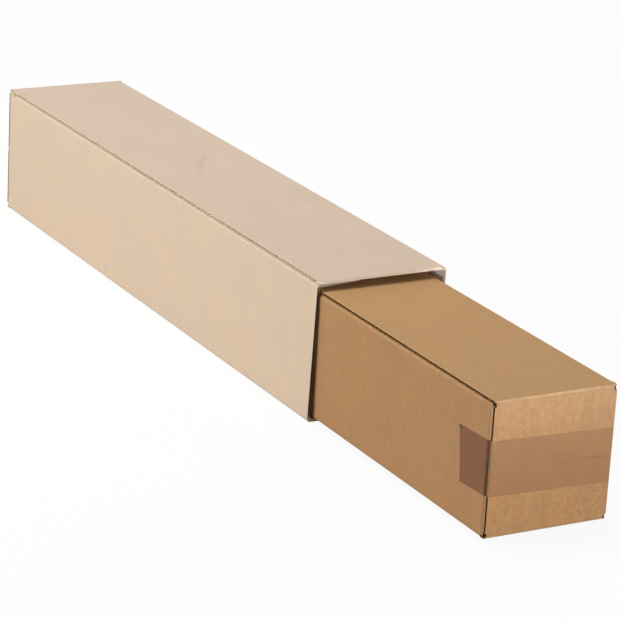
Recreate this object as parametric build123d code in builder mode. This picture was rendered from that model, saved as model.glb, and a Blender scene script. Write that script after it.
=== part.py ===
from build123d import *
import os

os.makedirs("parts", exist_ok=True)

# Square telescoping mailing tube: a pale sleeve with a brown inner box drawn partly out of its mouth.
# It lies along X on the floor at Z = 0, with the inner box's taped end at +X. Sizes are in millimetres.

# Corrugated board and its folds
board = 2.5  # thickness
fold_inside = 0.6  # radius inside a fold
fold_mid = fold_inside + board / 2
fold_outside = fold_inside + board

# Open ends of the board's flutes, which run round the tube and show where a wall or flap is cut across them
flute_pitch = 6.4
flute_web = 1.0  # width of board between two neighbouring openings
flute_liner = 0.35  # paper above and below the openings
flute_depth = 3.0  # the openings are modelled this deep
flute_half = (flute_pitch - flute_web) / 2
flute_rise = board / 2 - flute_liner
flute_up = ((-flute_half, -flute_rise), (flute_half, -flute_rise), (0, flute_rise))
flute_down = ((-flute_half, flute_rise), (flute_half, flute_rise), (0, -flute_rise))
flute_out = ((-flute_rise, -flute_half), (flute_rise, 0), (-flute_rise, flute_half))
flute_in = ((flute_rise, -flute_half), (-flute_rise, 0), (flute_rise, flute_half))

# Packing tape over the inner box's end, where its outer flaps meet
tape_width = 48.0
tape_thick = 0.2
tape_lap = 43.0  # length lapped onto each side wall
tape_film = 0.05  # adhesive between tape and board
tape_tilt = 1.7  # degrees, the strip was put on slightly crooked
tape_reach = tape_film + tape_thick / 2

# The two boxes
sleeve_side = 131.0  # width and height over the outside
slip = 3.5  # room on each side between the inner box and the sleeve
mouth_lean = slip - 0.5  # the sleeve's open mouth leans, with its top this far to the right
inner_side = sleeve_side - 2 * (board + slip)
box_length = 685.0  # outside length of each box
drawn_out = 288.0  # length of inner box in view
lie_gap = 0.3  # the inner box lies this far above the sleeve's floor
inner_base = board + lie_gap
far_end = -(box_length + drawn_out + tape_film + tape_thick) / 2
near_end = far_end + box_length + drawn_out
mouth = far_end + box_length
inner_mouth = near_end - box_length

# The leaning mouth overhangs to the right, so the tube lies half of that to the left
middle = (0, -mouth_lean / 2 * (1 - fold_outside / sleeve_side), 0)
across = Plane(middle, x_dir=(0, 1, 0), z_dir=(1, 0, 0))
upright = Plane(middle, x_dir=(1, 0, 0), z_dir=(0, -1, 0))
level = Plane(middle)

# Glue joint along the top left edge: a tab folded in from the left wall, under the top wall
tab_width = 42.0
tab_setback = 10.0  # the tabs stop short of the walls' ends, but the sleeve's reaches its mouth
tab_crush = 2.1  # the tabs are crushed this much thinner towards their free edges
glue_line = 0.4  # thickness of glue between tab and top wall
glue_soak = 0.2  # the glue soaks this far into both
inner_joint = 1.0  # the inner box's top wall has its cut edge this far in from the left wall's face
sleeve_joint = 1.3  # and the sleeve's top wall this far

# End flaps: two outer ones from the top and bottom walls, over two inner ones from the side walls
flap_inset = 1.2  # each outer flap's side edge lies this far in from the side wall's face
flap_gap = 0.3  # between the outer and the inner flaps
flap_meet = 1.0  # gap where two flaps meet
slot_relief = 1.1  # the slots between flaps are cut this far past the folds, into the walls
slot_depth = board + flap_gap + fold_outside + slot_relief
hole_width = 1.4  # the slots widen into a small hole at each corner of a closed end
hole_height = 3.8
hole_skin = 1.2  # paper left between the hole and the box's top or bottom
hole_in = flap_inset + hole_width / 2
hole_down = hole_skin + hole_height / 2
tape_bend = flap_inset + tape_reach  # the tape turns the box's corners clear of the flaps' edges

# Levels of the sleeve's board, along its middle
sleeve_wall = sleeve_side / 2 - board / 2
sleeve_floor = board / 2
sleeve_roof = sleeve_side - board / 2
sleeve_tab = sleeve_roof - board - glue_line
sleeve_slots = far_end + slot_depth
sleeve_tab_span = (sleeve_slots + tab_setback, mouth)
sleeve_tab_edge = -sleeve_side / 2 + tab_width

# The sleeve's sheet across its middle, from the tab's free edge round to the top wall's cut edge
sleeve_sheet = (
    (sleeve_tab_edge, sleeve_tab),
    (-sleeve_wall, sleeve_tab),
    (-sleeve_wall, sleeve_floor),
    (sleeve_wall, sleeve_floor),
    (sleeve_wall, sleeve_roof),
    (-sleeve_side / 2 + sleeve_joint, sleeve_roof),
)
sleeve_crush = (
    (-sleeve_side / 2 + 2 * fold_outside, sleeve_tab - board / 2),
    (sleeve_tab_edge + board, sleeve_tab - board / 2),
    (sleeve_tab_edge + board, sleeve_tab - board / 2 + tab_crush),
    (sleeve_tab_edge, sleeve_tab - board / 2 + tab_crush),
)
sleeve_glue = (
    (-sleeve_side / 2 + fold_outside, sleeve_tab + board / 2 - glue_soak),
    (sleeve_tab_edge - board, sleeve_tab + board / 2 - glue_soak),
    (sleeve_tab_edge - board, sleeve_roof - board / 2 + glue_soak),
    (-sleeve_side / 2 + fold_outside, sleeve_roof - board / 2 + glue_soak),
)

# Levels of the inner box's board, along its middle
inner_wall = inner_side / 2 - board / 2
inner_floor = inner_base + board / 2
inner_roof = inner_base + inner_side - board / 2
inner_tab = inner_roof - board - glue_line
inner_slots = near_end - slot_depth
inner_tab_span = (inner_mouth + tab_setback, inner_slots - tab_setback)
inner_middle = inner_base + inner_side / 2

# How many flutes fit along each cut edge, with half a flute to spare
sleeve_flutes = int((sleeve_tab_span[1] - sleeve_tab_span[0]) / flute_pitch - 1 / 2)
inner_flutes = int((inner_slots - inner_mouth) / flute_pitch - 1 / 2)
sleeve_flap_flutes = int((sleeve_side / 2 - fold_outside - flap_meet) / flute_pitch - 1 / 2)
inner_flap_flutes = int((inner_side / 2 - fold_outside - flap_meet) / flute_pitch - 1 / 2)

with BuildPart() as sleeve:
    # Four square walls beside the far end; the left wall ends just under the top wall
    with BuildSketch(across.offset(sleeve_slots)):
        with BuildLine():
            FilletPolyline((-sleeve_wall, sleeve_tab + board / 2), *sleeve_sheet[2:], radius=fold_mid)
        trace(line_width=board)
    extrude(amount=sleeve_tab_span[0] - sleeve_slots)
    # From there the walls, with the tab folded in from the left one, run on to the leaning mouth
    for place, lean in zip(sleeve_tab_span, (0, mouth_lean)):
        with BuildSketch(across.offset(place)):
            with BuildLine():
                FilletPolyline(*[(y + lean * z / sleeve_side, z) for y, z in sleeve_sheet], radius=fold_mid)
            trace(line_width=board)
            Polygon(*[(y + lean * z / sleeve_side, z) for y, z in sleeve_crush], align=None, mode=Mode.SUBTRACT)
    loft(ruled=True)
    # Glue between the tab and the top wall
    for place, lean in zip(sleeve_tab_span, (0, mouth_lean)):
        with BuildSketch(across.offset(place)):
            Polygon(*[(y + lean * z / sleeve_side, z) for y, z in sleeve_glue], align=None)
    loft(ruled=True)
    # Outer flaps, folded from the top and bottom walls
    with BuildSketch(upright):
        with BuildLine():
            FilletPolyline(
                (sleeve_slots, sleeve_roof),
                (far_end + board / 2, sleeve_roof),
                (far_end + board / 2, sleeve_side / 2 + flap_meet / 2),
                radius=fold_mid,
            )
        trace(line_width=board)
        with BuildLine():
            FilletPolyline(
                (sleeve_slots, sleeve_floor),
                (far_end + board / 2, sleeve_floor),
                (far_end + board / 2, sleeve_side / 2 - flap_meet / 2),
                radius=fold_mid,
            )
        trace(line_width=board)
    extrude(amount=sleeve_side / 2 - flap_inset, both=True)
    # Inner flaps, folded from the side walls behind the outer ones
    with BuildSketch(level.offset(board + flap_gap)):
        with BuildLine():
            FilletPolyline(
                (sleeve_slots, -sleeve_wall),
                (far_end + board + flap_gap + board / 2, -sleeve_wall),
                (far_end + board + flap_gap + board / 2, -flap_meet / 2),
                radius=fold_mid,
            )
        trace(line_width=board)
        with BuildLine():
            FilletPolyline(
                (sleeve_slots, sleeve_wall),
                (far_end + board + flap_gap + board / 2, sleeve_wall),
                (far_end + board + flap_gap + board / 2, flap_meet / 2),
                radius=fold_mid,
            )
        trace(line_width=board)
    extrude(amount=sleeve_side - 2 * (board + flap_gap))
    # Small holes at the corners, where the slots run into the folds
    with BuildSketch(across.offset(far_end)):
        with Locations((0, sleeve_side / 2)):
            with GridLocations(sleeve_side - 2 * hole_in, sleeve_side - 2 * hole_down, 2, 2):
                Rectangle(hole_width, hole_height)
    extrude(amount=board + flap_gap, mode=Mode.SUBTRACT)
    # Glue between the outer and the inner flaps
    with BuildSketch(across.offset(far_end + board)):
        with Locations((0, sleeve_side / 4), (0, 3 * sleeve_side / 4)):
            Rectangle(sleeve_side / 2, sleeve_side / 4)
    extrude(amount=flap_gap)
    # Flutes open along the top wall's cut edge at the glue joint
    with BuildSketch(upright.offset(sleeve_side / 2)):
        with Locations((sum(sleeve_tab_span) / 2, sleeve_roof)):
            with GridLocations(flute_pitch, 0, sleeve_flutes, 1):
                with Locations((-flute_pitch / 4, 0)):
                    Polygon(*flute_up, align=None)
                with Locations((flute_pitch / 4, 0)):
                    Polygon(*flute_down, align=None)
    extrude(amount=-(sleeve_joint + mouth_lean + flute_depth), mode=Mode.SUBTRACT)
    # Flutes open along both side edges of the outer flaps
    for edge in (1, -1):
        with BuildSketch(upright.offset(edge * (sleeve_side / 2 - flap_inset))):
            with Locations(
                (far_end + board / 2, sleeve_side / 2 + sleeve_side / 4 - fold_outside / 2),
                (far_end + board / 2, sleeve_side / 2 - sleeve_side / 4 + fold_outside / 2),
            ):
                with GridLocations(0, flute_pitch, 1, sleeve_flap_flutes):
                    with Locations((0, -flute_pitch / 4)):
                        Polygon(*flute_out, align=None)
                    with Locations((0, flute_pitch / 4)):
                        Polygon(*flute_in, align=None)
        extrude(amount=-edge * flute_depth, mode=Mode.SUBTRACT)

with BuildPart() as inner_box:
    # Four walls with a rounded fold at three corners; the left wall ends just under the top wall
    with BuildSketch(across.offset(inner_mouth)):
        with BuildLine():
            FilletPolyline(
                (-inner_wall, inner_tab + board / 2),
                (-inner_wall, inner_floor),
                (inner_wall, inner_floor),
                (inner_wall, inner_roof),
                (-inner_side / 2 + inner_joint, inner_roof),
                radius=fold_mid,
            )
        trace(line_width=board)
    extrude(amount=inner_slots - inner_mouth)
    # Along the tab the left wall's top edge gives way to a fold
    with BuildSketch(across.offset(inner_tab_span[0])):
        with Locations((-inner_wall, inner_tab - fold_mid)):
            Rectangle(2 * board, board / 2 + fold_mid + glue_line, align=(Align.CENTER, Align.MIN))
    extrude(amount=inner_tab_span[1] - inner_tab_span[0], mode=Mode.SUBTRACT)
    with BuildSketch(across.offset(inner_tab_span[0])):
        with BuildLine():
            FilletPolyline(
                (-inner_wall, inner_tab - 2 * fold_mid),
                (-inner_wall, inner_tab),
                (-inner_side / 2 + tab_width, inner_tab),
                radius=fold_mid,
            )
        trace(line_width=board)
        with Locations((-inner_side / 2 + fold_outside, inner_tab)):
            Rectangle(tab_width - fold_outside, board / 2 + glue_line + board / 2, align=(Align.MIN, Align.MIN))
        Polygon(
            (-inner_side / 2 + 2 * fold_outside, inner_tab - board / 2),
            (-inner_side / 2 + tab_width, inner_tab - board / 2),
            (-inner_side / 2 + tab_width, inner_tab - board / 2 + tab_crush),
            align=None,
            mode=Mode.SUBTRACT,
        )
    extrude(amount=inner_tab_span[1] - inner_tab_span[0])
    # Outer flaps, folded from the top and bottom walls
    with BuildSketch(upright):
        with BuildLine():
            FilletPolyline(
                (inner_slots, inner_roof),
                (near_end - board / 2, inner_roof),
                (near_end - board / 2, inner_middle + flap_meet / 2),
                radius=fold_mid,
            )
        trace(line_width=board)
        with BuildLine():
            FilletPolyline(
                (inner_slots, inner_floor),
                (near_end - board / 2, inner_floor),
                (near_end - board / 2, inner_middle - flap_meet / 2),
                radius=fold_mid,
            )
        trace(line_width=board)
    extrude(amount=inner_side / 2 - flap_inset, both=True)
    # Inner flaps, folded from the side walls behind the outer ones
    with BuildSketch(level.offset(inner_base + board + flap_gap)):
        with BuildLine():
            FilletPolyline(
                (inner_slots, -inner_wall),
                (near_end - board - flap_gap - board / 2, -inner_wall),
                (near_end - board - flap_gap - board / 2, -flap_meet / 2),
                radius=fold_mid,
            )
        trace(line_width=board)
        with BuildLine():
            FilletPolyline(
                (inner_slots, inner_wall),
                (near_end - board - flap_gap - board / 2, inner_wall),
                (near_end - board - flap_gap - board / 2, flap_meet / 2),
                radius=fold_mid,
            )
        trace(line_width=board)
    extrude(amount=inner_side - 2 * (board + flap_gap))
    # Small holes at the corners, where the slots run into the folds
    with BuildSketch(across.offset(near_end)):
        with Locations((0, inner_middle)):
            with GridLocations(inner_side - 2 * hole_in, inner_side - 2 * hole_down, 2, 2):
                Rectangle(hole_width, hole_height)
    extrude(amount=-(board + flap_gap), mode=Mode.SUBTRACT)
    # Flutes open along the top wall's cut edge at the glue joint
    with BuildSketch(upright.offset(inner_side / 2 - inner_joint)):
        with Locations(((inner_mouth + inner_slots) / 2, inner_roof)):
            with GridLocations(flute_pitch, 0, inner_flutes, 1):
                with Locations((-flute_pitch / 4, 0)):
                    Polygon(*flute_up, align=None)
                with Locations((flute_pitch / 4, 0)):
                    Polygon(*flute_down, align=None)
    extrude(amount=-flute_depth, mode=Mode.SUBTRACT)
    # Flutes open along both side edges of the outer flaps
    for edge in (1, -1):
        with BuildSketch(upright.offset(edge * (inner_side / 2 - flap_inset))):
            with Locations(
                (near_end - board / 2, inner_middle + inner_side / 4 - fold_outside / 2),
                (near_end - board / 2, inner_middle - inner_side / 4 + fold_outside / 2),
            ):
                with GridLocations(0, flute_pitch, 1, inner_flap_flutes):
                    with Locations((0, -flute_pitch / 4)):
                        Polygon(*flute_out, align=None)
                    with Locations((0, flute_pitch / 4)):
                        Polygon(*flute_in, align=None)
        extrude(amount=-edge * flute_depth, mode=Mode.SUBTRACT)

with BuildPart() as inner_tape:
    # One strip across the end and round onto both side walls
    with BuildSketch(level.offset(inner_base)):
        with BuildLine():
            FilletPolyline(
                (near_end - tape_lap, -inner_side / 2 - tape_reach),
                (near_end + tape_reach, -inner_side / 2 - tape_reach),
                (near_end + tape_reach, inner_side / 2 + tape_reach),
                (near_end - tape_lap, inner_side / 2 + tape_reach),
                radius=tape_bend,
            )
        trace(line_width=tape_thick)
    extrude(amount=inner_side)
    # Its long edges run slightly downhill from left to right
    with BuildSketch(across.offset(near_end + tape_bend)):
        with Locations((0, inner_middle)):
            Rectangle(2 * inner_side, tape_width, rotation=-tape_tilt)
    extrude(amount=-2 * tape_lap, mode=Mode.INTERSECT)

sleeve.part.label = "sleeve"
inner_box.part.label = "inner box"
inner_tape.part.label = "tape on the inner box"

export_step(sleeve.part, "parts/sleeve.step")
export_step(inner_box.part, "parts/inner_box.step")
export_step(inner_tape.part, "parts/inner_tape.step")
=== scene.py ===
import math
from types import SimpleNamespace

import bpy
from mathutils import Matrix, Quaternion, Vector, noise


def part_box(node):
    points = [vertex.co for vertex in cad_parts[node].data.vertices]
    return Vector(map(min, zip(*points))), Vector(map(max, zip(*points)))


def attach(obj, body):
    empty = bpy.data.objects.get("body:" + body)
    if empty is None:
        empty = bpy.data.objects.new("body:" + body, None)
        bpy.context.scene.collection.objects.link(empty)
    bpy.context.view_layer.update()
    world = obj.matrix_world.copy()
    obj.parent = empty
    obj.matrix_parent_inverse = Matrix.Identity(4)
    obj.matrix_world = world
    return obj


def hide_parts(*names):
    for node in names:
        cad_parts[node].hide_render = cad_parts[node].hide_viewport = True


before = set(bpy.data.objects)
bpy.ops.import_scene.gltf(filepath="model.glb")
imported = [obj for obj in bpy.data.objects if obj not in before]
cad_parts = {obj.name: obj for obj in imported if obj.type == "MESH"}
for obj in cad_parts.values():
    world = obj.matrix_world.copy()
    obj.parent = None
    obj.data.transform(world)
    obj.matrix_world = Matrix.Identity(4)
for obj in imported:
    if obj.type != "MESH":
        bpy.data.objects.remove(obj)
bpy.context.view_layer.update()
MM = 0.001
sleeve_low, sleeve_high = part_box("sleeve")
inner_low, inner_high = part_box("inner_box")

# Sizes of the boxes, in millimetres
SLEEVE_SIDE = 131.0
INNER_SIDE = 119.0
MOUTH_LEAN = 3.0  # how far the sleeve's top leans to the right at its mouth
LEAN_STARTS = 17.0  # from the sleeve's closed end
LEAN_FROM = sleeve_low.x / MM + LEAN_STARTS
LEAN_TO = sleeve_high.x / MM
MIDDLE_Y = sleeve_low.y / MM + SLEEVE_SIDE / 2
FLUTE_PITCH = 6.4
BOARD = 2.5
CUT_CORE = BOARD - 0.08  # depth at which the inside liner begins on a cut edge
FLAP_INSET = 1.2  # from the wall's face in to the outer flap's side edge
FOLD_OUTSIDE = 3.1  # outside radius of the wall's fold into an inner flap
FOLD_BACK = 5.9  # from the closed end back to that fold's centre
SLOT_DEPTH = 7.0
HOLE_DOWN = 2.8  # from the top or bottom face to the middle of a corner hole

# The tape on the inner box's end: sizes in millimetres, and slopes as rise over run
TAPE_WIDTH = 48.0
TAPE_LAP = 43.0
TAPE_STAND = 0.13  # from the board to the film's outer face
TAPE_FILM = 0.08
TAPE_TURN = 0.55  # radius round the flap's side edge
TAPE_SLOPE = 0.0297
MEETING_SLOPE = 3.0 / 44  # of the line where the flaps meet, right of MEETING_BEND
MEETING_BEND = 12.0
FILM_WAVES = 0.035
SAG = 0.16  # into the gap where the flaps meet
CUT_WANDER = 1.3
CUT_SAW = 0.5
CUT_COLUMNS = 4
EDGE_LIFT = 0.08  # of the film at its cut ends
LAP_DIP = 0.075
LAP_SLANT = 5.6  # the left lap's cut end reaches this much further back at its top than at its bottom
LAP_CUT_SHORT = 0.9
LIFTED_CORNER = 5.5  # across the corner of the left lap that has come away
CORNER_LIFT = 0.7

# Steps along the strip and across it
TAPE_ROWS = 96
FLAT_STEPS = 20
TURN_STEPS = 6
VALLEY_STEPS = 6
FOLD_STEPS = 8
LAP_STEPS = 22

# The smudge on the sleeve's top: its middle, its slant, and how far out it is gone and how far full
SMUDGE_X = -168.0
SMUDGE_Y = 4.5
SMUDGE_SLANT = math.radians(-32)
SMUDGE_ALONG = (44.0, 18.0)
SMUDGE_ACROSS = (5.5, 1.0)

# Colours, linear
TAPE_ON_END = (0.394, 0.209, 0.101)
# Painted shade: the tape where it is turned onto the walls is drawn darker than on the end, for the light
# falling there
TAPE_SIDE_PAINTED_SHADE = (0.235, 0.101, 0.038)
# Painted shade for the tape's valleys, the flaps' meeting and the lifted corner
TAPE_CREASE_SHADE = (0.07, 0.034, 0.015)
TAPE_GLINT = (1.0, 0.76, 0.5)
SMUDGE = (0.47, 0.375, 0.29)
# Painted shade for hollows: the slots' corner holes and an open flute in the mouth's rim
HOLLOW_SHADE = (0.025, 0.014, 0.007)
FLOOR_BOUNCED = (0.40, 0.37, 0.325)
FLOOR_LOOKED_AT = (0.92, 0.92, 0.92)
ROOM_LOOKED_AT = (0.97, 0.97, 0.97)
FLOOR_GLOW = 0.92  # share of the floor that is plain white to the eye; the rest shows the shadow
WHITE = (1, 1, 1)

# The two boards: where they end, their colours (the top and fold tones are painted shade and light), how
# strongly the paper is mottled, how strong and how far down painted light lies on the fold below the glue
# joint, and how dark a raw edge can get
OYSTER_BOARD = SimpleNamespace(
    side=SLEEVE_SIDE, lean=MOUTH_LEAN, mouth=sleeve_high.x / MM, closed_end=sleeve_low.x / MM,
    face=(0.767, 0.610, 0.463), warm=(0.788, 0.613, 0.450), top_shaded_tone=(0.596, 0.467, 0.361),
    inside=(0.80, 0.745, 0.68), raw=(0.86, 0.69, 0.51), rim=(0.57, 0.475, 0.385), fold_light_tone=(0.63, 0.505, 0.385),
    mottle=0.6, joint_fold_light=1.0, joint_reach=5.4, raw_dark=0.95)
KRAFT_BOARD = SimpleNamespace(
    side=INNER_SIDE, lean=0, mouth=inner_low.x / MM, closed_end=inner_high.x / MM,
    face=(0.488, 0.2745, 0.1275), warm=(0.5075, 0.2735, 0.1195), top_shaded_tone=(0.462, 0.266, 0.1115),
    inside=(0.43, 0.255, 0.125), raw=(0.38, 0.19, 0.062), rim=(0.52, 0.33, 0.17), fold_light_tone=(0.62, 0.395, 0.195),
    mottle=1.5, joint_fold_light=1.2, joint_reach=3.7, raw_dark=0.3)


class Sock:
    """A shader socket that takes part in Python arithmetic; each operation adds its node."""

    def __init__(self, tree, out=None):
        self.tree = tree
        self.out = out

    def node(self, kind, settings=None, sockets=None, out=0):
        made = self.tree.nodes.new("ShaderNode" + kind)
        for name, value in (settings or {}).items():
            setattr(made, name, value)
        for key, value in (sockets or {}).items():
            if isinstance(value, Sock):
                self.tree.links.new(value.out, made.inputs[key])
            elif made.inputs[key].type == "RGBA":
                made.inputs[key].default_value = (*value, 1)
            else:
                made.inputs[key].default_value = value
        return Sock(self.tree, made.outputs[out] if made.outputs else None)

    def math(self, operation, *values):
        return self.node("Math", {"operation": operation}, dict(enumerate(values)))

    def __add__(self, other):
        return self.math("ADD", self, other)

    def __sub__(self, other):
        return self.math("SUBTRACT", self, other)

    def __rsub__(self, other):
        return self.math("SUBTRACT", other, self)

    def __mul__(self, other):
        return self.math("MULTIPLY", self, other)

    def __abs__(self):
        return self.math("ABSOLUTE", self)

    __radd__ = __add__
    __rmul__ = __mul__

    def least(self, other):
        return self.math("MINIMUM", self, other)

    def most(self, other):
        return self.math("MAXIMUM", self, other)

    def sine(self):
        return self.math("SINE", self)

    def rise(self, low, high):
        """0 at low and 1 at high, eased between them; low may be the larger."""
        return self.node("MapRange", {"interpolation_type": "SMOOTHSTEP"}, {0: self, 1: low, 2: high})

    def band(self, low, high, soft):
        """1 between low and high, falling to 0 over soft on each side."""
        return self.rise(low - soft, low) * self.rise(high + soft, high)

    def split(self):
        """The three numbers of a vector."""
        return [self.node("SeparateXYZ", None, {0: self}, axis) for axis in range(3)]

    def stretched(self, x, y, z):
        return self.node("VectorMath", {"operation": "MULTIPLY"}, {0: self, 1: (x, y, z)})

    def scaled(self, amount):
        """A vector, or a colour, times a number."""
        return self.node("VectorMath", {"operation": "SCALE"}, {0: self, "Scale": amount})

    def grain(self, scale, detail=2.0, rough=0.5):
        """Noise about zero over a vector of places; its scale is in patches per metre."""
        sockets = {"Vector": self, "Scale": scale, "Detail": detail, "Roughness": rough}
        return self.node("TexNoise", None, sockets) - 0.5

    def tinted(self, a, b):
        """Colour a where this mask is 0 and colour b where it is 1."""
        return self.node("Mix", {"data_type": "RGBA"}, {0: self, 6: a, 7: b}, 2)

    def bump(self):
        """A surface that stands up by this height, in millimetres."""
        return self.node("Bump", None, {"Strength": 1.0, "Distance": MM, "Height": self})


def fresh_nodes(owner):
    """Empties the node tree of a material or a world, and gives the sock that its nodes start from."""
    owner.use_nodes = True
    owner.node_tree.nodes.clear()
    return Sock(owner.node_tree)


def shade(colour, amount):
    """A colour made darker or paler."""
    return tuple(amount * part for part in colour)


def board_places(start, node, board):
    """Where a point lies on a box: its place, its facing, and its millimetres in from the outer faces."""
    low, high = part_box(node)
    at = SimpleNamespace(place=start.node("TexCoord", out="Object"))
    at.turned = start.node("TexCoord", out="Normal").split()
    at.x, at.y, at.z = at.place.scaled(1 / MM).split()
    at.y = at.y - MIDDLE_Y
    if board.lean:
        lean_rate = board.lean / board.side / (LEAN_TO - LEAN_FROM)
        at.y = at.y - (at.x - LEAN_FROM).most(0) * at.z * lean_rate
    at.on_right = at.y.rise(-1, 1)
    at.from_side = board.side / 2 - abs(at.y)
    at.from_left = at.y + board.side / 2
    at.from_top = high.z / MM - at.z
    at.from_floor = at.z - low.z / MM
    at.from_flat = at.from_top.least(at.from_floor)
    at.from_end = abs(at.x - board.closed_end)
    at.from_mouth = abs(at.x - board.mouth)
    at.depth = at.from_side.least(at.from_end).least(at.from_flat)
    at.past_folds = at.from_flat.rise(3.0, 3.3)
    at.is_rim = at.from_mouth.rise(0.12, 0.06)
    joint_fold = at.from_left.rise(6.4, 6.0) * at.from_top.rise(3.9, 3.5)
    at.is_inside = at.depth.rise(BOARD - 0.6, BOARD - 0.2) * at.from_mouth.rise(0.05, 0.15)
    at.is_inside = at.is_inside * (1 - joint_fold)
    return at


def raw_edges(at):
    """Masks of the cut edges, and of the painted shade at the small holes where the slots meet the folds."""
    edges = SimpleNamespace()
    edges.joint = at.from_left.rise(9, 8.6) * at.from_top.band(0.12, CUT_CORE, 0.06)
    edges.joint = edges.joint * at.from_end.rise(SLOT_DEPTH - 1, SLOT_DEPTH)
    edges.flap = at.from_end.band(0.1, CUT_CORE, 0.06)
    edges.flap = edges.flap * at.from_side.band(FLAP_INSET - 0.1, FLAP_INSET + 3.2, 0.08)
    edges.flap = edges.flap * at.from_side.rise(FLAP_INSET + 0.14, FLAP_INSET + 0.08).most(at.past_folds)
    edges.fold = at.from_side.band(FLAP_INSET - 0.08, FLAP_INSET + 0.08, 0.05) * at.from_flat.rise(5.8, 5.4)
    edges.fold = edges.fold * at.from_end.rise(SLOT_DEPTH, SLOT_DEPTH - 0.3)
    edges.beside_slot = edges.flap.most(edges.fold)
    edges.all = edges.joint.most(edges.beside_slot) * (1 - at.is_rim)

    # Painted shade on the wall's fold inside the slot, and in a ring round the notch on the flap's face
    through = at.from_flat.band(1.4, 4.6, 0.2) * at.from_side.band(0.9, 2.75, 0.15)
    through = through * at.from_end.band(0.85, 3.5, 0.15)
    down = at.from_flat - HOLE_DOWN
    across = at.from_side - FLAP_INSET - at.on_right * 1.4
    spread = down * down * 0.4 + across * across - at.on_right * 1.2
    shade_round_notch = spread.rise(1.4, 0.7) * at.from_end.rise(0.9, 0.7) * at.from_side.rise(1.1, 1.2)
    edges.slot_hole = through.most(shade_round_notch)
    return edges


def paper_grain(at):
    """The liner's clouds, blots, fibres, streaks and flecks, and the flutes that show faintly through it."""
    place = at.place
    paper = SimpleNamespace(on_end=at.turned[0] * at.turned[0])
    paper.clouds = place.grain(17, 3) + place.grain(75, 2) * 0.6
    paper.blots = place.grain(260, 3, 0.6)
    paper.fibres = place.stretched(0.28, 1, 1).grain(1500, 3, 0.6)
    paper.cross_fibres = place.stretched(1, 0.35, 0.35).grain(900, 2, 0.6)
    paper.streaks = place.stretched(1, 1, 0.12).grain(210, 3, 0.6) * (1 - at.turned[2] * at.turned[2])
    paper.flecks = place.stretched(0.5, 1, 1).grain(620, 2).rise(0.17, 0.24)
    paper.pale_flecks = place.stretched(0.5, 1, 1).grain(480, 1).rise(-0.19, -0.25)
    along = at.x + paper.on_end * (at.z - at.x)
    paper.ribs = (along * (2 * math.pi / FLUTE_PITCH) + place.grain(30, 1) * 1.6).sine()
    paper.rib_shade = paper.ribs * (0.35 + place.grain(40, 2).rise(-0.1, 0.2) * 0.65)
    return paper


def fold_painted_light(at, board):
    """Painted light at the folds, partly rubbing from handling: paler along the kraft's folds and darker
    along the sleeve's; a painted highlight on the folds beside the slots; and painted shade along the score
    lines behind those.
    """
    near_wall = at.from_side.rise(3.2, 2.2) * at.past_folds
    long_folds = (at.from_side + at.from_flat).rise(2.35, 1.9)
    end_folds = (at.from_end + at.from_flat).rise(2.3, 1.9) * 1.7
    wall_folds = at.from_end.band(BOARD + 0.4, BOARD + 1.5, 0.35) * near_wall * 1.6
    below_joint = at.from_top.band(3.0, board.joint_reach, 0.4)
    joint_folds = at.from_left.rise(2.6, 1.2) * below_joint * board.joint_fold_light
    folds = long_folds.most(end_folds).most(wall_folds).most(joint_folds)
    return SimpleNamespace(
        fold_light_and_wear=folds * at.place.grain(160, 3).rise(-0.3, 0.05),
        slot_fold_highlight=at.from_end.band(BOARD + 0.1, BOARD + 1.0, 0.4) * near_wall,
        score_line_shade=(at.from_end.band(FOLD_BACK - 0.9, FOLD_BACK + 0.1, 0.5)
                * at.from_side.rise(1.4, 0.9) * at.past_folds))


def paper_colour(at, paper, fold_paint, board, marks):
    """The papered faces, with painted shade on the top faces, painted light at the folds, and plain inside.
    """
    colour = paper.clouds.rise(-0.22, 0.24).tinted(board.face, board.warm)
    # Painted shade: the faces that look up are drawn darker and greyer
    top_shade = at.turned[2].rise(0.35, 0.9) * (0.82 + paper.clouds * 0.5)
    colour = top_shade.tinted(colour, board.top_shaded_tone)
    if marks:
        colour = marks(at, colour)
    # Painted light along the folds, partly rubbing from handling: paler on the kraft board, darker on the
    # sleeve
    colour = (fold_paint.fold_light_and_wear * 0.55).tinted(colour, board.fold_light_tone)
    colour = at.is_inside.tinted(colour, board.inside)
    # Painted highlight on the walls' folds beside the slots
    colour = (fold_paint.slot_fold_highlight * 0.9).tinted(colour, shade(board.fold_light_tone, 1.6))
    mottling = paper.clouds * 0.07 + paper.streaks * 0.09 + paper.blots * 0.19
    mottling = mottling + paper.fibres * 0.08 + paper.cross_fibres * 0.07
    speckle = 1 + mottling * (1 + paper.on_end * 0.7) * board.mottle
    speckle = speckle - paper.flecks * 0.09 + paper.pale_flecks * 0.05
    # Painted shade along the score lines behind the folds
    return colour.scaled(speckle + paper.rib_shade * 0.008 - fold_paint.score_line_shade * 0.1)


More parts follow.
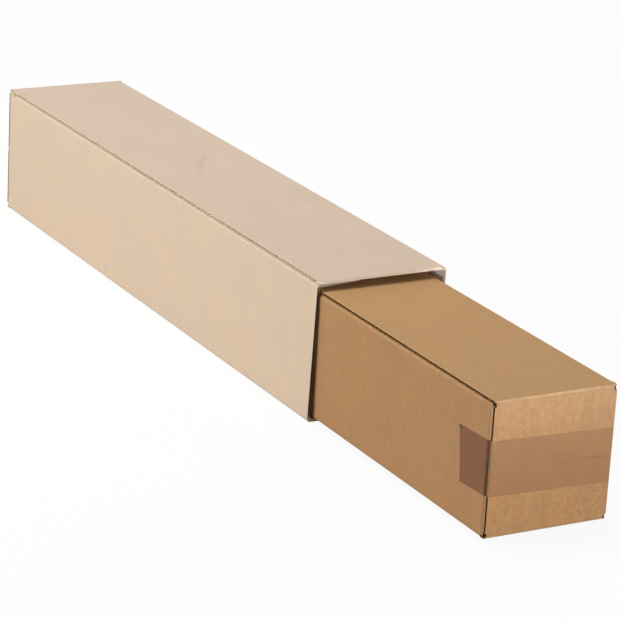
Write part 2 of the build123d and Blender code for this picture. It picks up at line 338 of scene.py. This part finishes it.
def rim_colour(at, board):
    """The mouth's cut rim, its light and shade painted: paler along the top wall, darker down the sides, in
    the paler raw colour along the bottom, and painted shade of an open flute along the left.
    """
    top_rim_light = at.from_top.rise(3.2, 2.6)
    broken = at.place.stretched(1, 0.3, 0.3).grain(420, 2).rise(-0.2, 0.12)
    middle = at.depth.band(0.75, 1.75, 0.4) * broken * (0.6 - top_rim_light * 0.45)
    # Painted highlight on the top rim, painted shade on the side rims
    colour = top_rim_light.tinted(shade(board.rim, 0.55), shade(board.rim, 1.27))
    colour = middle.tinted(colour, shade(board.raw, 0.65)).scaled(1 + at.place.grain(1900, 2) * 0.25)
    # Painted shade of an open flute along the left wall's rim
    open_flute_shade = at.from_left.rise(4.5, 4.0) * at.depth.band(0.5, 2.1, 0.2)
    open_flute_shade = open_flute_shade * at.from_floor.rise(5, 8) * at.from_top.rise(4, 7)
    colour = (open_flute_shade * 0.93).tinted(colour, HOLLOW_SHADE)
    # Painted light: the bottom of the rim drawn in the paler raw colour
    return at.from_floor.rise(4.0, 2.8).tinted(colour, board.raw)


def raw_colour(at, edges, board):
    """Cut edges with the flutes' paper in them, with painted shade towards the slots and near the closed
    end.
    """
    # Random fibres, with painted shade beside the slots
    fibres_and_slot_shade = (at.place.grain(800, 3, 0.65) - edges.beside_slot * 0.35).rise(-0.3, 0.25)
    colour = fibres_and_slot_shade.tinted(shade(board.raw, board.raw_dark), shade(board.raw, 1.2))
    painted_shade_near_slots = edges.fold.most(at.from_end.rise(24, 12))
    return colour.scaled(1 - painted_shade_near_slots * 0.35)


def board_finish(name, node, board, marks=None):
    """Corrugated board: papered faces, the open mouth's cut rim, and raw edges where the flutes show."""
    finish = bpy.data.materials.new(name)
    start = fresh_nodes(finish)
    at = board_places(start, node, board)
    edges = raw_edges(at)
    paper = paper_grain(at)
    fold_paint = fold_painted_light(at, board)
    colour = at.is_rim.tinted(paper_colour(at, paper, fold_paint, board, marks), rim_colour(at, board))
    colour = edges.all.tinted(colour, raw_colour(at, edges, board))
    # Painted shade in the slots' corner holes
    colour = edges.slot_hole.tinted(colour, HOLLOW_SHADE)

    height = paper.ribs * 0.012 + paper.fibres * 0.02 + paper.cross_fibres * 0.012 + paper.clouds * 0.05
    height = height + edges.all.most(at.is_rim) * at.place.grain(1300, 3, 0.7) * 0.16
    roughness = 0.86 + paper.clouds * 0.1 - fold_paint.fold_light_and_wear * 0.1 + paper.fibres * 0.12
    surface = start.node("BsdfPrincipled", None, {
        "Base Color": colour, "Roughness": roughness, "Specular IOR Level": 0.28, "Normal": height.bump()})
    start.node("OutputMaterial", None, {"Surface": surface})
    return finish


def sleeve_marks(at, paper):
    """The long faint smudge on the sleeve's top."""
    x, y = at.x - SMUDGE_X, at.y - SMUDGE_Y
    along = x * math.cos(SMUDGE_SLANT) + y * math.sin(SMUDGE_SLANT)
    across = y * math.cos(SMUDGE_SLANT) - x * math.sin(SMUDGE_SLANT)
    smudge = abs(along).rise(*SMUDGE_ALONG) * abs(across).rise(*SMUDGE_ACROSS)
    smudge = smudge * at.place.grain(130, 3).rise(-0.5, 0.0) * at.turned[2].rise(0.8, 0.95)
    return (smudge * 0.36).tinted(paper, SMUDGE)


def tape_finish(name):
    """Brown packing tape: a smooth film with faint lengthwise streaks, and painted shade where it is turned
    onto the walls, in the valleys beside the flaps' edges, along the flaps' meeting and under the lifted
    corner.
    """
    finish = bpy.data.materials.new(name)
    start = fresh_nodes(finish)
    strip = start.node("UVMap", {"uv_map": "strip"})
    place = start.node("TexCoord", out="Object")
    lap_shade = start.node("Attribute", {"attribute_name": "lap_shade"}, out="Fac")
    crease_shade = start.node("Attribute", {"attribute_name": "crease_shade"}, out="Fac")
    streaks = strip.stretched(0.03, 1, 1).grain(900, 3, 0.6)
    blotches = place.grain(55, 3)
    # Painted shade: darker where the tape is turned onto the walls, darkest in the valleys, along the flaps'
    # meeting and under the lifted corner
    colour = crease_shade.tinted(lap_shade.tinted(TAPE_ON_END, TAPE_SIDE_PAINTED_SHADE), TAPE_CREASE_SHADE)
    colour = colour.scaled(1 + streaks * 0.11 + blotches * 0.16 + place.grain(300, 2) * 0.13)
    height = streaks * 0.012 + blotches * 0.05 + place.grain(420, 2) * 0.008
    surface = start.node("BsdfPrincipled", None, {
        "Base Color": colour, "Roughness": 0.36 + blotches * 0.12 + streaks * 0.08,
        "Specular IOR Level": 0.2, "Specular Tint": TAPE_GLINT, "Normal": height.bump()})
    start.node("OutputMaterial", None, {"Surface": surface})
    return finish


def clamp(share):
    """A share held between 0 and 1."""
    return min(1.0, max(0.0, share))


def hump(distance, width):
    """1 at no distance, falling away smoothly over the width on both sides."""
    return math.exp(-(distance / width) ** 2)


def strip_plan(half):
    """Half the strip from above, out from the end's middle: (across the end, back along the wall)."""
    corner = half - FLAP_INSET
    plan = [(corner * k / FLAT_STEPS, -TAPE_STAND) for k in range(FLAT_STEPS)]
    for k in range(TURN_STEPS + 1):
        angle = math.radians(90 * k / TURN_STEPS)
        plan.append((corner - TAPE_TURN + (TAPE_TURN + TAPE_STAND) * math.sin(angle),
                     TAPE_TURN - (TAPE_TURN + TAPE_STAND) * math.cos(angle)))
    # Straight back beside the flap's edge, into the valley, and out over the wall's fold
    round_fold = FOLD_OUTSIDE + TAPE_STAND
    valley = math.acos((FOLD_OUTSIDE - FLAP_INSET + TAPE_STAND) / round_fold)
    crease = FOLD_BACK - round_fold * math.sin(valley)
    for k in range(1, VALLEY_STEPS):
        plan.append((corner + TAPE_STAND, TAPE_TURN + (crease - TAPE_TURN) * k / VALLEY_STEPS))
    for k in range(FOLD_STEPS + 1):
        angle = valley * (1 - k / FOLD_STEPS)
        plan.append((half - FOLD_OUTSIDE + round_fold * math.cos(angle),
                     FOLD_BACK - round_fold * math.sin(angle)))
    # Flat on the wall: short steps behind the fold, then longer ones to the cut end
    plan += [(half + TAPE_STAND, FOLD_BACK + 0.45 * k) for k in range(1, 8)]
    lap_from = FOLD_BACK + 4
    for k in range(LAP_STEPS + 1):
        plan.append((half + TAPE_STAND, lap_from + (TAPE_LAP - lap_from) * (k / LAP_STEPS) ** 0.9))
    return plan, crease


def strip_mesh(name, points, uvs, shares):
    """A sheet of columns of points, with its flat layout and the shares that its finish reads."""
    faces = []
    for column in range(len(points) // (TAPE_ROWS + 1) - 1):
        for row in range(TAPE_ROWS):
            a = column * (TAPE_ROWS + 1) + row
            b = a + TAPE_ROWS + 1
            faces.append((a, b, b + 1, a + 1))
    mesh = bpy.data.meshes.new(name)
    mesh.from_pydata(points, [], faces)
    layer = mesh.uv_layers.new(name="strip")
    for loop in mesh.loops:
        layer.data[loop.index].uv = uvs[loop.vertex_index]
    for label, values in shares.items():
        mesh.attributes.new(label, "FLOAT", "POINT").data.foreach_set("value", values)
    mesh.shade_smooth()
    return mesh


def tape_strip(name, node, box_node):
    """A strip of tape over a closed end: turned onto both walls, drawn into the corners' valleys, and cut by
    hand.
    """
    low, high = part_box(box_node)
    half = (high.y - low.y) / MM / 2
    end = high.x / MM
    middle = (low.z + high.z) / MM / 2
    plan, crease = strip_plan(half)
    last = len(plan) - 1
    reach = [0.0]
    for a, b in zip(plan, plan[1:]):
        reach.append(reach[-1] + math.dist(a, b))
    turned_corner = reach[FLAT_STEPS + TURN_STEPS // 2]
    flat_to = half - FLAP_INSET - 2

    columns = [(-1, k) for k in range(last, 0, -1)] + [(1, k) for k in range(last + 1)]
    points, uvs, lap_shades, crease_shades = [], [], [], []
    for side, k in columns:
        across, back = plan[k]
        ahead, behind = plan[min(k + 1, last)], plan[max(k - 1, 0)]
        run = Vector((ahead[0] - behind[0], ahead[1] - behind[1])).normalized()
        s = side * reach[k]
        at_end = reach[k] / reach[-1]
        # How far a column is onto the wall, where the tape's painted shade comes in
        lap_shade = clamp((reach[k] - turned_corner - 0.5) / 4.5)
        for row in range(TAPE_ROWS + 1):
            v = row / TAPE_ROWS - 0.5
            height = middle + v * TAPE_WIDTH - TAPE_SLOPE * s

            # Hand-cut ends: a slow wander with a fine saw edge
            cut = 0.0
            if k > last - CUT_COLUMNS:
                saw = abs((row * 0.31) % 1 - 0.5) - 0.25
                wander = noise.noise(Vector((v * 3.1, side * 4.7, 2.3)))
                cut = (CUT_WANDER * wander + CUT_SAW * saw) * (1 - (last - k) / CUT_COLUMNS)
            lift = FILM_WAVES * noise.noise(Vector((s * 0.16, v * 9, 3.1)))
            lift += EDGE_LIFT * max(0.0, (at_end - 0.985) / 0.015)

            # The film sags into the gap where the two flaps meet, and painted shade is laid along that gap
            # on the right
            from_meeting = height - middle + MEETING_SLOPE * max(0.0, s - MEETING_BEND)
            if reach[k] < flat_to:
                lift -= SAG * hump(from_meeting, 0.55) * clamp((s + 20) / 35)
            meeting_shade = hump(from_meeting, 0.7) * clamp(s / 40) * clamp((56 - s) / 6) * (back < 0.3)

            # Painted shade in the valley beside the flap's edge, most of all low down
            valley_shade = hump(back - crease, 0.8) * (0.9 + 0.4 * noise.noise(Vector((v * 5, side * 2.0, 1.7))))
            in_valley = clamp((back - 0.3) / 0.5) * clamp((FOLD_BACK + 0.6 - back) / 1.2)
            valley_shade = valley_shade * (0.8 - 0.5 * v) + 0.3 * in_valley

            # The left lap runs downhill, is cut at a slant, and its top corner has come away, with painted
            # shade under it
            gap = 0.0
            if side < 0:
                height -= LAP_DIP * max(0.0, reach[k] - turned_corner)
                cut -= (LAP_SLANT * (v + 0.5) - LAP_CUT_SHORT) * max(0.0, at_end - 0.6) / 0.4
                from_corner = math.hypot((1 - at_end) * reach[-1], (0.5 - v) * TAPE_WIDTH)
                gap = max(0.0, 1 - from_corner / LIFTED_CORNER)
                lift += CORNER_LIFT * gap * gap

            points.append(((end - back + cut + lift * run.x) * MM,
                           (MIDDLE_Y + side * (across + lift * run.y)) * MM, height * MM))
            uvs.append((s * MM, v * TAPE_WIDTH * MM))
            lap_shades.append(lap_shade)
            crease_shades.append(min(1.0, 0.9 * valley_shade + 1.1 * gap + 0.4 * meeting_shade))

    strip = bpy.data.objects.new(name, strip_mesh(name, points, uvs, {"lap_shade": lap_shades, "crease_shade": crease_shades}))
    bpy.context.scene.collection.objects.link(strip)
    film = strip.modifiers.new("film", "SOLIDIFY")
    film.thickness = TAPE_FILM * MM
    film.offset = -1
    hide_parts(node)
    return strip


def rays_from_the_eye(start):
    """Masks of the rays straight from the camera, and of those with mirrored and see-through ones."""
    names = ("Is Camera Ray", "Is Glossy Ray", "Is Transmission Ray")
    straight, mirrored, through = [start.node("LightPath", out=name) for name in names]
    return straight, straight.most(mirrored).most(through)


def pale_floor(half=14.0, below=0.0004):
    """A wide pale floor: white to the eye, with the object's soft shadow kept."""
    mesh = bpy.data.meshes.new("floor")
    corners = [(-half, -half, -below), (half, -half, -below), (half, half, -below), (-half, half, -below)]
    mesh.from_pydata(corners, [], [(0, 1, 2, 3)])
    floor = bpy.data.objects.new("floor", mesh)
    bpy.context.scene.collection.objects.link(floor)
    finish = bpy.data.materials.new("pale floor")
    start = fresh_nodes(finish)
    straight, shown = rays_from_the_eye(start)
    bounced = start.node("BsdfDiffuse", None, {"Color": FLOOR_BOUNCED})
    looked_at = start.node("BsdfDiffuse", None, {"Color": FLOOR_LOOKED_AT})
    matt = start.node("MixShader", None, {0: straight, 1: bounced, 2: looked_at})
    white = start.node("Emission", None, {"Color": WHITE, "Strength": 1.0})
    surface = start.node("MixShader", None, {0: shown * FLOOR_GLOW, 1: matt, 2: white})
    start.node("OutputMaterial", None, {"Surface": surface})
    mesh.materials.append(finish)


def white_room(level):
    """A room that is white to the eye and lights the object evenly, at a level of its own."""
    world = bpy.data.worlds.new("white room")
    bpy.context.scene.world = world
    start = fresh_nodes(world)
    shown = rays_from_the_eye(start)[1]
    soft = start.node("Background", None, {"Color": WHITE, "Strength": level})
    white = start.node("Background", None, {"Color": ROOM_LOOKED_AT, "Strength": 1.0})
    surface = start.node("MixShader", None, {0: shown, 1: soft, 2: white})
    start.node("OutputWorld", None, {"Surface": surface})


def aimed(place, aim):
    """The turn that points a lamp or a camera at place towards aim, the right way up."""
    return (Vector(aim) - Vector(place)).to_track_quat("-Z", "Y")


def softbox(name, place, aim, size, power, spread=180, tint=WHITE):
    """A rectangular lamp, unseen by the camera; its spread is in degrees."""
    lamp = bpy.data.lights.new(name, "AREA")
    lamp.shape = "RECTANGLE"
    lamp.size, lamp.size_y = size
    lamp.energy = power
    lamp.color = tint
    lamp.spread = math.radians(spread)
    box = bpy.data.objects.new(name, lamp)
    box.location = place
    box.rotation_euler = aimed(place, aim).to_euler()
    box.visible_camera = False
    bpy.context.scene.collection.objects.link(box)


def photo_camera(place, aim, roll, lens):
    """The camera at the photograph's viewing angle; its roll is in degrees."""
    camera = bpy.data.cameras.new("photo camera")
    camera.sensor_width = 36
    camera.sensor_height = 36
    camera.sensor_fit = "HORIZONTAL"
    camera.lens = lens
    camera.clip_end = 100
    view = bpy.data.objects.new("photo camera", camera)
    view.location = place
    view.rotation_euler = (aimed(place, aim) @ Quaternion((0, 0, 1), math.radians(roll))).to_euler()
    bpy.context.scene.collection.objects.link(view)
    bpy.context.scene.camera = view


sleeve_finish = board_finish("oyster board", "sleeve", OYSTER_BOARD, sleeve_marks)
inner_finish = board_finish("kraft board", "inner_box", KRAFT_BOARD)
for node, finish in (("sleeve", sleeve_finish), ("inner_box", inner_finish)):
    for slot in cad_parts[node].material_slots:
        slot.material = finish

inner_strip = tape_strip("inner_tape_strip", "inner_tape", "inner_box")
inner_strip.data.materials.append(tape_finish("brown packing tape"))
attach(inner_strip, "inner_box")

pale_floor()
white_room(0.12)
# Lamps: place, aim and size in metres, power, and for the small ones spread and tint
softbox("overhead softbox", (-0.5, -0.25, 2.3), (-0.2, 0, 0), (1.3, 1.3), 34.2)
softbox("left softbox", (-0.5, -2.3, 0.9), (0, 0, 0.06), (1.3, 1.3), 38.9)
softbox("front softbox", (3.4, 0.9, 0.55), (0.2, 0, 0.06), (1.6, 0.8), 69.7)
softbox("back softbox", (-1.6, 2.4, 0.7), (-0.1, 0, 0.06), (1.6, 1.0), 20.0)
# Two small ones: into the mouth's right corner, and up the end of the inner box
softbox("mouth softbox", (0.90, -0.45, 0.17), (0.198, 0.058, 0.133), (0.01, 0.01), 0.0012, 3)
softbox("end softbox", (1.10, 0.0, 0.07), (0.4865, 0, 0.19), (0.5, 0.10), 0.15, 25, (0.76, 1.0, 1.35))
photo_camera(place=(2.27924, -1.24678, 0.92240), aim=(0.08165, -0.00431, 0.06), roll=3.2746, lens=167.909)
bpy.context.scene.view_settings.view_transform = "Standard"
